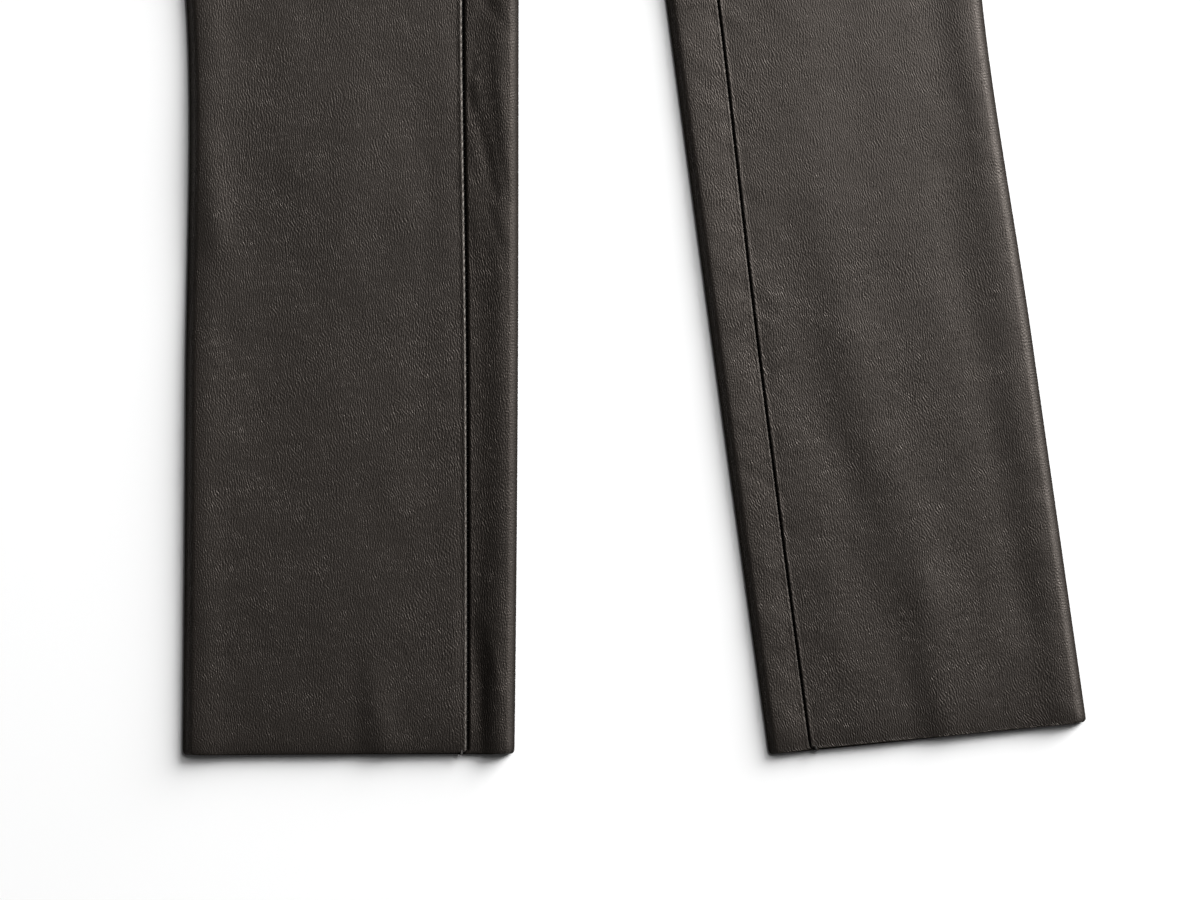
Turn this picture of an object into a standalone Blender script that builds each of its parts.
"""Straight-leg leather trousers, laid flat with the front up and the waist toward +Y.

Every cut piece is one object: two fronts, two backs, the waistband, the fly shield, the zip, its
slider and pull, and the button. Lengths below are millimetres, measured out from the garment's
mid-line and up from its hem line. +X is the wearer's left. The table that the garment lies on is z = 0.
"""

import math
from typing import NamedTuple

import bmesh
import bpy
import numpy as np

MM = 0.001

# Leather and seams
LEATHER = 1.2
BAND_LEATHER = 1.8
SEAM_GAP = 0.3
HALF_GAP = SEAM_GAP / 2

# The lying leg in section: two flat walls joined by a rolled fold at each edge
LIE_HEIGHT = 4.8
FOLD_TOP_REACH = 5.0
FOLD_BOTTOM_REACH = 3.0
FOLD_BULGE_HEIGHT = 2.6
FOLD_TURNS_TOP = (90, 62, 34, 0)
FOLD_TURNS_BOTTOM = (45, 90)
ROLL_INSET = 13.0
ROLL_SPREAD = 8.0
ROLL_HEIGHT = 0.9
SEAM_DIP_SPREAD = 5.0
SEAM_DIP = 0.9
HIGHEST_LIE = 6.1
LOWEST_LIE = 3.1
OUTSEAM_INSET = 10.0

# Fly, zip and waistband
FLY_HEIGHT = 8.4
FLY_LAP = 11.0
FLY_LAP_STEP = LEATHER + SEAM_GAP
FLY_RISE_FROM = 785.0
FLY_RISE_TO = 808.0
FLY_CROSS_FROM = 812.0
FLY_CROSS_TO = 829.0
FLY_FLAT_HALF = 42.0
FLY_FADE_HALF = 92.0
BAND_HEIGHT = 38.0
BAND_TAPER = 7.0
BAND_LIE_HEIGHT = 5.2
BAND_OVER_HEIGHT = 8.9
BAND_UNDER_HEIGHT = BAND_OVER_HEIGHT - BAND_LEATHER - 0.5
BAND_TONGUE = 34.0
SHIELD_HALF = 34.0
SHIELD_FOOT = 820.0
SHIELD_CORNER = 22.0
ZIP_CENTRE = 3.0
ZIP_FOOT = 832.0
ZIP_TAPE_HALF = 15.0
ZIP_TAPE_FLOOR = 4.0
ZIP_TAPE_THICK = 0.5
ZIP_CHAIN_HALF = 2.6
ZIP_CHAIN_THICK = 2.5
SLIDER_LENGTH = 13.0
SLIDER_HALF = 4.0
SLIDER_TOP = 5.4
SLIDER_POST_RADIUS = 1.1
SLIDER_POST_TOP = 6.85
PULL_LENGTH = 26.0
PULL_HALF = 3.0
PULL_THICK = 0.9
PULL_HOLE_RADIUS = 1.7
BUTTON_RADIUS = 8.5
BUTTON_THICK = 2.4
BUTTON_SHANK_RADIUS = 2.0
BUTTON_OUT = 4.0
BUTTONHOLE_RADIUS = 2.6

# Share of the way across at which each lengthwise edge of a panel's mesh runs
FRONT_ACROSS = (0, 0.035, 0.08, 0.15, 0.24, 0.34, 0.45, 0.56, 0.67, 0.77, 0.86, 0.93, 1)
STRIP_ACROSS = (0, 0.3, 0.65, 1)
BACK_ACROSS = (0, 0.12, 0.26, 0.42, 0.58, 0.74, 0.88, 1)
WRAP_ACROSS = (0, 1)


class Leg(NamedTuple):
    """One level of a leg: where its inner and outer folds and its inseam lie."""

    inner_up: float
    inner_out: float
    strip: float  # from the inner fold to the inseam, on the front face
    outer_up: float
    outer_out: float


class Torso(NamedTuple):
    """One level above the crotch: the centre front, the centre back and the side fold."""

    front_up: float
    back_up: float
    side_up: float
    side_out: float


class Crease(NamedTuple):
    """A soft ridge (height over 0) or trough (under 0) along a straight line on one front."""

    side: int
    foot_out: float
    foot_up: float
    head_out: float
    head_up: float
    spread: float
    height: float


CROTCH_UP = 745.0
CROTCH_STRIP = 14.0

RIGHT_LEG = (
    Leg(4.8, 65.1, 24.3, 15.4, 235.0),  # hem
    Leg(200, 50.5, 26.3, 200, 221.4),  # calf
    Leg(400, 37.0, 28.8, 400, 207.9),  # knee
    Leg(560, 26.0, 28.0, 552, 216.0),  # middle of the thigh
    Leg(660, 16.5, 23.0, 642, 227.5),
    Leg(715, 9.0, 18.0, 690, 234.0),
    Leg(738, 4.0, 15.0, 722, 238.0),
    Leg(CROTCH_UP, HALF_GAP, CROTCH_STRIP, 750, 240.5),
)
LEFT_LEG = (
    Leg(-4.3, 65.3, 21.2, 2.0, 228.9),  # hem
    Leg(200, 50.6, 22.8, 200, 213.9),  # calf
    Leg(400, 36.9, 26.2, 400, 199.2),  # knee
    Leg(560, 26.0, 26.0, 552, 211.5),  # middle of the thigh
    Leg(660, 16.5, 22.5, 642, 226.0),
    Leg(715, 9.0, 18.0, 690, 233.5),
    Leg(738, 4.0, 15.0, 722, 238.0),
    Leg(CROTCH_UP, HALF_GAP, CROTCH_STRIP, 750, 240.5),
)
TORSO = (
    Torso(CROTCH_UP + CROTCH_STRIP, CROTCH_UP + FOLD_BOTTOM_REACH, 750, 240.5),
    Torso(FLY_RISE_FROM, 785, 785, 241.5),
    Torso(FLY_RISE_TO, 808, 808, 240.5),  # hip
    Torso(FLY_CROSS_TO, 830, 830, 238.0),
    Torso(872, 874, 872, 232.0),
    Torso(914, 922, 918, 221.0),
    Torso(949, 965, 958, 207.5),
    Torso(975, 1000, 990, 195.0),  # waist seam
)
LEG_ROWS = (6, 6, 5, 3, 2, 3, 3)  # mesh rows between one level and the next
TORSO_ROWS = (2, 1, 3, 2, 2, 2, 1)

CREASES = (
    Crease(1, 142, 8, 92, 235, 11, -1.2),  # left leg: the long trough up from the hem
    Crease(1, 172, 10, 118, 205, 13, 1.0),  # the ridge beside it
    Crease(1, 118, 205, 104, 400, 16, 0.8),
    Crease(1, 201, 60, 172, 285, 9, -1.0),
    Crease(-1, 138, 0, 146, 48, 8, -1.0),  # right leg: a short trough at the hem
    Crease(-1, 207, 60, 190, 350, 12, 0.6),
    Crease(-1, 74, 0, 66, 100, 8, -0.9),  # the strip inside the inseam sinks toward the hem
    Crease(1, 40, 700, 175, 800, 13, 0.8),  # crotch creases
    Crease(-1, 44, 690, 165, 780, 14, 0.8),
    Crease(1, 48, 640, 160, 690, 11, -0.7),
    Crease(-1, 60, 625, 170, 700, 12, -0.7),
)


def smooth_curve(keys):
    """The curve through keys at 0, 1, 2, ... that never overshoots them, as a function of place."""
    keys = np.asarray(keys, float)
    steps = np.diff(keys, axis=0)
    slopes = np.zeros_like(keys)
    before, after = steps[:-1], steps[1:]
    same_way = before * after > 0
    slopes[1:-1][same_way] = (2 * before * after)[same_way] / (before + after)[same_way]
    for end, near, next_one in ((0, steps[0], steps[1]), (-1, steps[-1], steps[-2])):
        slope = (3 * near - next_one) / 2
        slopes[end] = np.where(slope * near > 0, slope, 0)

    def at(place):
        low = int(min(max(math.floor(place), 0), len(keys) - 2))
        t = place - low
        return (
            keys[low] * (1 + 2 * t) * (1 - t) ** 2
            + slopes[low] * t * (1 - t) ** 2
            + keys[low + 1] * t * t * (3 - 2 * t)
            + slopes[low + 1] * t * t * (t - 1)
        )

    return at


def fade(value, low, high):
    """0 below low, 1 above high, and smooth between them."""
    t = min(max((value - low) / (high - low), 0), 1)
    return t * t * (3 - 2 * t)


def bell(distance, spread):
    return math.exp(-((distance / spread) ** 2))


def unit(vector):
    return vector / np.hypot(*vector)


class Half:
    """The left (side = 1) or right (side = -1) half of the garment, built as if it lay at +X."""

    def __init__(self, side, leg):
        self.side = side
        self.inner = smooth_curve([(s.inner_out, s.inner_up, s.strip) for s in leg])
        self.outer = smooth_curve(
            [(s.outer_out, s.outer_up) for s in leg] + [(t.side_out, t.side_up) for t in TORSO[1:]]
        )
        self.centre = smooth_curve([(t.front_up, t.back_up) for t in TORSO])
        self.crotch = len(leg) - 1
        self.waist = self.crotch + len(TORSO) - 1

    def edge(self, curve, place, turn, last):
        """A fold's point at this place on its curve, and the way that faces out of the leather."""
        step = 0.01
        ahead = curve(min(place + step, last))[:2]
        along = unit(ahead - curve(max(place - step, 0))[:2])
        return curve(place)[:2], np.array((turn * along[1], -turn * along[0]))

    def inner_edge(self, place):
        point, out = self.edge(self.inner, place, -1, self.crotch)
        return (point, np.array((0.0, -1.0))) if place >= self.crotch else (point, out)

    def outer_edge(self, place):
        return self.edge(self.outer, place, 1, self.waist)

    def centre_front(self, up):
        """Where the front ends at the centre: the left front laps over the right one along the fly."""
        lap = FLY_LAP * fade(up, FLY_CROSS_FROM, FLY_CROSS_TO) if self.side > 0 else 0
        return HALF_GAP - lap

    def lie_height(self, out, up, from_seam, from_edge):
        """Height of the leather's upper side, with its creases, over the table."""
        height = LIE_HEIGHT + ROLL_HEIGHT * bell(from_edge - ROLL_INSET, ROLL_SPREAD)
        height -= SEAM_DIP * bell(from_seam, SEAM_DIP_SPREAD)
        for crease in CREASES:
            if crease.side == self.side:
                foot = np.array((crease.foot_out, crease.foot_up))
                run = np.array((crease.head_out, crease.head_up)) - foot
                share = np.dot((out, up) - foot, run) / np.dot(run, run)
                nearest = foot + run * min(max(share, 0), 1)
                height += crease.height * bell(math.dist((out, up), nearest), crease.spread)
        height = min(max(height, LOWEST_LIE), HIGHEST_LIE)
        at_fly = FLY_HEIGHT if self.side > 0 else FLY_HEIGHT - FLY_LAP_STEP
        over_fly = fade(up, FLY_RISE_FROM, FLY_RISE_TO) * (1 - fade(out, FLY_FLAT_HALF, FLY_FADE_HALF))
        return height + (at_fly - height) * over_fly

    def fold(self, edge, out, height):
        """Points round a fold, from the upper side to the table."""
        points = []
        for turn in FOLD_TURNS_TOP:
            inward = FOLD_TOP_REACH * (1 - math.cos(math.radians(turn)))
            rise = (height - FOLD_BULGE_HEIGHT) * math.sin(math.radians(turn))
            points.append((*(edge - out * inward), FOLD_BULGE_HEIGHT + rise))
        for turn in FOLD_TURNS_BOTTOM:
            inward = FOLD_BOTTOM_REACH * (1 - math.cos(math.radians(turn)))
            drop = FOLD_BULGE_HEIGHT * math.sin(math.radians(turn))
            points.append((*(edge - out * inward), FOLD_BULGE_HEIGHT - drop))
        return points

    def between(self, start, end, share, place):
        """A point of the row from start to end: straight across a leg, bowed across the torso."""
        bow = min(max(place - self.crotch, 0), 1)
        rise = share + (share * share - share) * bow
        return start[0] + (end[0] - start[0]) * share, start[1] + (end[1] - start[1]) * rise

    def front_face(self, place):
        """The front's row on the upper side, from the inseam or the centre front to the outer fold."""
        edge, out = self.outer_edge(place)
        end = edge - out * FOLD_TOP_REACH
        if place <= self.crotch:
            inner, inner_out = self.inner_edge(place)
            start = inner - inner_out * (self.inner(place)[2] + HALF_GAP)
        else:
            up = self.centre(place - self.crotch)[0]
            start = np.array((self.centre_front(up), up))
        width = math.dist(start, end)
        points = []
        for share in FRONT_ACROSS:
            x, y = self.between(start, end, share, place)
            from_edge = (1 - share) * width + FOLD_TOP_REACH
            points.append((x, y, self.lie_height(x, y, share * width, from_edge)))
        return points

    def front_row(self, place):
        """A whole row of the front: its face, the outer fold and the little that wraps underneath."""
        face = self.front_face(place)
        edge, out = self.outer_edge(place)
        start = edge - out * FOLD_BOTTOM_REACH
        end = edge - out * (OUTSEAM_INSET - HALF_GAP)
        wrap = [(*(start + (end - start) * share), 0.0) for share in WRAP_ACROSS[1:]]
        return face[:-1] + self.fold(edge, out, face[-1][2]) + wrap

    def back_face(self, place):
        """The back's row on the table, from the inner fold or the centre back to the outseam."""
        if place <= self.crotch:
            inner, inner_out = self.inner_edge(place)
            start = inner - inner_out * FOLD_BOTTOM_REACH
        else:
            start = np.array((HALF_GAP, self.centre(place - self.crotch)[1]))
        edge, out = self.outer_edge(place)
        end = edge - out * (OUTSEAM_INSET + HALF_GAP)
        return [(*self.between(start, end, share, place), 0.0) for share in BACK_ACROSS]

    def back_leg_row(self, place):
        """A whole row of the back below the crotch: the strip on the front face, the inner fold
        and the face on the table."""
        inner, out = self.inner_edge(place)
        strip = self.inner(place)[2] - HALF_GAP
        start, end = inner - out * strip, inner - out * FOLD_TOP_REACH
        face = []
        for share in STRIP_ACROSS:
            x, y = start + (end - start) * share
            from_edge = math.dist((x, y), inner)
            face.append((x, y, self.lie_height(x, y, strip - from_edge, from_edge)))
        return face[:-1] + self.fold(inner, out, face[-1][2]) + self.back_face(place)[1:]

    def places(self, first, last, rows):
        """Every row's place between two levels, the levels themselves included."""
        found = [first + level + step / count for level, count in enumerate(rows) for step in range(count)]
        return found + [last]

    def front_rows(self):
        legs = self.places(0, self.crotch, LEG_ROWS)[:-1]
        return [self.front_row(p) for p in legs + self.places(self.crotch, self.waist, TORSO_ROWS)]

    def back_rows(self):
        """The rows below the crotch, and the shorter ones above it, which start at the centre back."""
        leg = [self.back_leg_row(p) for p in self.places(0, self.crotch, LEG_ROWS)]
        torso = [self.back_face(p) for p in self.places(self.crotch, self.waist, TORSO_ROWS)[1:]]
        return leg, torso

    def band_row(self, share):
        """Half of a waistband row: out along the front, round the side fold and back underneath."""
        face = self.front_face(self.waist)
        edge, out = self.outer_edge(self.waist)
        height = BAND_OVER_HEIGHT if self.side > 0 else BAND_UNDER_HEIGHT
        row = []
        for x, y, _ in face[:-1]:
            flat = 1 - fade(x, FLY_FLAT_HALF, FLY_FADE_HALF)
            row.append((x, y, BAND_LIE_HEIGHT + (height - BAND_LIE_HEIGHT) * flat))
        row += self.fold(edge, out, BAND_LIE_HEIGHT)
        row += [(x, y, z) for x, y, z in reversed(self.back_face(self.waist))]
        lift = SEAM_GAP + BAND_HEIGHT * share
        narrow = 1 - BAND_TAPER / edge[0] * share
        return [(x * narrow, y + lift, z) for x, y, z in row]


def material(name, colour, roughness, metallic=0.0):
    made = bpy.data.materials.new(name)
    made.use_nodes = True
    shader = made.node_tree.nodes["Principled BSDF"]
    shader.inputs["Base Color"].default_value = (*colour, 1)
    shader.inputs["Roughness"].default_value = roughness
    shader.inputs["Metallic"].default_value = metallic
    return made


def sheet_object(name, grids, side, thickness, finish):
    """An object from one or two grids of points that share a row's end, given a wall by Solidify."""
    shape = bmesh.new()
    made = {}

    def vertex(point):
        key = tuple(round(value, 5) for value in point)
        if key not in made:
            made[key] = shape.verts.new((side * point[0] * MM, point[1] * MM, point[2] * MM))
        return made[key]

    for grid in grids:
        for low, high in zip(grid[:-1], grid[1:]):
            for i in range(len(low) - 1):
                shape.faces.new([vertex(p) for p in (low[i], low[i + 1], high[i + 1], high[i])])
    shape.normal_update()
    shape.faces.ensure_lookup_table()
    if shape.faces[0].normal.z < 0:
        bmesh.ops.reverse_faces(shape, faces=shape.faces)
    wall = finished_object(name, shape, finish).modifiers.new("Leather", "SOLIDIFY")
    wall.thickness = thickness * MM
    wall.offset = -1
    wall.use_even_offset = True
    wall.use_quality_normals = True
    return bpy.data.objects[name]


def finished_object(name, shape, finish):
    """A named object with this mesh and material, shaded smooth and laid on the garment's empty."""
    mesh = bpy.data.meshes.new(name)
    shape.to_mesh(mesh)
    shape.free()
    mesh.materials.append(finish)
    mesh.shade_smooth()
    mesh.set_sharp_from_angle(angle=math.radians(40))
    made = bpy.data.objects.new(name, mesh)
    bpy.context.scene.collection.objects.link(made)
    made.parent = bpy.data.objects["trousers"]
    return made


def slab(name, outline, floor, thickness, finish):
    """A flat piece: an outline of (out, up) points, raised by its thickness."""
    shape = bmesh.new()
    base = shape.faces.new([shape.verts.new((x * MM, y * MM, floor * MM)) for x, y in outline])
    raised = bmesh.ops.extrude_face_region(shape, geom=[base])["geom"]
    corners = [item for item in raised if isinstance(item, bmesh.types.BMVert)]
    bmesh.ops.translate(shape, verts=corners, vec=(0, 0, thickness * MM))
    bmesh.ops.recalc_face_normals(shape, faces=shape.faces)
    return finished_object(name, shape, finish)


def arc(centre, radius, start, end, steps):
    """Points along an arc, with its angles in degrees."""
    turns = [math.radians(start + (end - start) * i / steps) for i in range(steps + 1)]
    return [(centre[0] + radius * math.cos(t), centre[1] + radius * math.sin(t)) for t in turns]


def turned(name, profile, centre, steps, finish):
    """A round piece: a profile of (radius, height) points, the first and last on the axis, spun."""
    shape = bmesh.new()
    verts = [shape.verts.new(((centre[0] + r) * MM, centre[1] * MM, z * MM)) for r, z in profile]
    edges = [shape.edges.new(pair) for pair in zip(verts[:-1], verts[1:])]
    bmesh.ops.spin(
        shape, geom=verts + edges, cent=(centre[0] * MM, centre[1] * MM, 0), axis=(0, 0, 1),
        angle=math.tau, steps=steps, use_merge=True,
    )
    bmesh.ops.remove_doubles(shape, verts=shape.verts, dist=0.001 * MM)
    bmesh.ops.recalc_face_normals(shape, faces=shape.faces)
    return finished_object(name, shape, finish)


def boolean(target, other, operation):
    """Join a helper to a piece, or cut it out; the helper itself is left out of the garment."""
    other.hide_render = True
    other.display_type = "WIRE"
    modifier = target.modifiers.new(other.name, "BOOLEAN")
    modifier.operation = operation
    modifier.object = other


def panels(left, right, leather):
    """The two fronts and the two backs."""
    for half, word in ((left, "left"), (right, "right")):
        sheet_object(f"front_{word}", [half.front_rows()], half.side, LEATHER, leather)
        leg, torso = half.back_rows()
        crotch_row = leg[-1][-len(torso[0]):]
        sheet_object(f"back_{word}", [leg, [crotch_row] + torso], half.side, LEATHER, leather)


def waistband(left, right, leather):
    """One band round the waist, whose right end runs on under the left one, with a buttonhole."""
    rows = []
    for share in (0, 0.5, 1):
        over = left.band_row(share)
        under = [(-x, y, z) for x, y, z in reversed(right.band_row(share))]
        end_y, end_z = under[-1][1:]
        tongue = [(BAND_TONGUE * part, end_y, end_z) for part in (1 / 3, 2 / 3, 1)]
        rows.append(over + under + tongue)
    band = sheet_object("waistband", [rows], 1, BAND_LEATHER, leather)
    middle = TORSO[-1].front_up + SEAM_GAP + BAND_HEIGHT / 2
    cut_floor = BAND_UNDER_HEIGHT + HALF_GAP
    profile = [(0, cut_floor), (BUTTONHOLE_RADIUS, cut_floor)]
    profile += [(BUTTONHOLE_RADIUS, BAND_OVER_HEIGHT + 1), (0, BAND_OVER_HEIGHT + 1)]
    cutter = turned("buttonhole_cutter", profile, (BUTTON_OUT, middle), 16, leather)
    boolean(band, cutter, "DIFFERENCE")
    return middle


def fly_shield(leather):
    """The leather that backs the zip, with its lower outer corner rounded."""
    top = TORSO[-1].front_up - SEAM_GAP
    corner = arc((SHIELD_HALF - SHIELD_CORNER, SHIELD_FOOT + SHIELD_CORNER), SHIELD_CORNER, -90, 0, 6)
    outline = [(-SHIELD_HALF, top), (-SHIELD_HALF, SHIELD_FOOT), *corner, (SHIELD_HALF, top)]
    slab("fly_shield", outline, LEATHER + SEAM_GAP, LEATHER, leather)


def zip_pieces(tape_finish, metal):
    """The closed zip: tape and chain in one, the slider at the top, and its pull lying down."""
    top = TORSO[-1].front_up - 2 * SEAM_GAP
    slider_foot = top - SLIDER_LENGTH - 6
    chain_top = slider_foot - SEAM_GAP
    notch = SLIDER_HALF + SEAM_GAP
    left, right = ZIP_CENTRE - ZIP_TAPE_HALF, ZIP_CENTRE + ZIP_TAPE_HALF
    outline = [(left, ZIP_FOOT), (right, ZIP_FOOT), (right, top), (ZIP_CENTRE + notch, top)]
    outline += [(ZIP_CENTRE + notch, chain_top), (ZIP_CENTRE - notch, chain_top)]
    outline += [(ZIP_CENTRE - notch, top), (left, top)]
    tape = slab("zip", outline, ZIP_TAPE_FLOOR, ZIP_TAPE_THICK, tape_finish)
    chain_floor = LEATHER + SEAM_GAP + LEATHER + SEAM_GAP
    chain_foot, chain_end = ZIP_FOOT + 2, chain_top - 0.5
    near, far = ZIP_CENTRE - ZIP_CHAIN_HALF, ZIP_CENTRE + ZIP_CHAIN_HALF
    chain_outline = [(near, chain_foot), (far, chain_foot), (far, chain_end), (near, chain_end)]
    chain = slab("zip_chain_helper", chain_outline, chain_floor, ZIP_CHAIN_THICK, metal)
    boolean(tape, chain, "UNION")
    shoulder = SLIDER_LENGTH * 0.45
    body = [(ZIP_CENTRE - SLIDER_HALF * 0.7, slider_foot), (ZIP_CENTRE + SLIDER_HALF * 0.7, slider_foot)]
    body += [(ZIP_CENTRE + SLIDER_HALF, slider_foot + shoulder)]
    body += arc((ZIP_CENTRE, slider_foot + shoulder), SLIDER_HALF, 0, 180, 8)[1:-1]
    body += [(ZIP_CENTRE - SLIDER_HALF, slider_foot + shoulder)]
    slider = slab("zip_slider", body, chain_floor, SLIDER_TOP - chain_floor, metal)
    post_up = slider_foot + shoulder
    post_profile = [(0, SLIDER_TOP - 1), (SLIDER_POST_RADIUS, SLIDER_TOP - 1)]
    post_profile += [(SLIDER_POST_RADIUS, SLIDER_POST_TOP), (0, SLIDER_POST_TOP)]
    post = turned("slider_post_helper", post_profile, (ZIP_CENTRE, post_up), 12, metal)
    boolean(slider, post, "UNION")
    pull_floor = chain_floor + ZIP_CHAIN_THICK + SEAM_GAP
    end_up = post_up - PULL_LENGTH + 2 * PULL_HALF
    tab = arc((ZIP_CENTRE, post_up), PULL_HALF, 0, 180, 10)
    tab += arc((ZIP_CENTRE, end_up), PULL_HALF, 180, 360, 10)
    pull = slab("zip_pull", tab, pull_floor, PULL_THICK, metal)
    hole_profile = [(0, pull_floor - 1), (PULL_HOLE_RADIUS, pull_floor - 1)]
    hole_profile += [(PULL_HOLE_RADIUS, pull_floor + 2), (0, pull_floor + 2)]
    hole = turned("pull_hole_cutter", hole_profile, (ZIP_CENTRE, post_up), 16, metal)
    boolean(pull, hole, "DIFFERENCE")


def button(middle, finish):
    """A domed button whose shank stands in the buttonhole, on the band's lower end."""
    floor = BAND_OVER_HEIGHT + SEAM_GAP
    top = floor + BUTTON_THICK
    profile = [(0, BAND_UNDER_HEIGHT + SEAM_GAP), (BUTTON_SHANK_RADIUS, BAND_UNDER_HEIGHT + SEAM_GAP)]
    profile += [(BUTTON_SHANK_RADIUS, floor), (BUTTON_RADIUS - 0.8, floor)]
    profile += [(BUTTON_RADIUS, floor + 0.8), (BUTTON_RADIUS, top - 0.9), (BUTTON_RADIUS - 0.9, top - 0.2)]
    profile += [(BUTTON_RADIUS - 2.2, top - 0.4), (0, top - 0.6)]
    turned("button", profile, (BUTTON_OUT, middle), 28, finish)


def build():
    for item in list(bpy.data.objects):
        bpy.data.objects.remove(item, do_unlink=True)
    left, right = Half(1, LEFT_LEG), Half(-1, RIGHT_LEG)
    lowest = min(LEFT_LEG[0].inner_up, RIGHT_LEG[0].inner_up)
    highest = TORSO[-1].back_up + SEAM_GAP + BAND_HEIGHT
    place = bpy.data.objects.new("trousers", None)
    place.location = (0, -(lowest + highest) / 2 * MM, 0)
    bpy.context.scene.collection.objects.link(place)
    leather = material("leather", (0.042, 0.037, 0.033), 0.5)
    tape = material("zip_tape", (0.012, 0.012, 0.012), 0.9)
    metal = material("dark_metal", (0.09, 0.085, 0.08), 0.35, 1.0)
    panels(left, right, leather)
    middle = waistband(left, right, leather)
    fly_shield(leather)
    zip_pieces(tape, metal)
    button(middle, metal)


build()
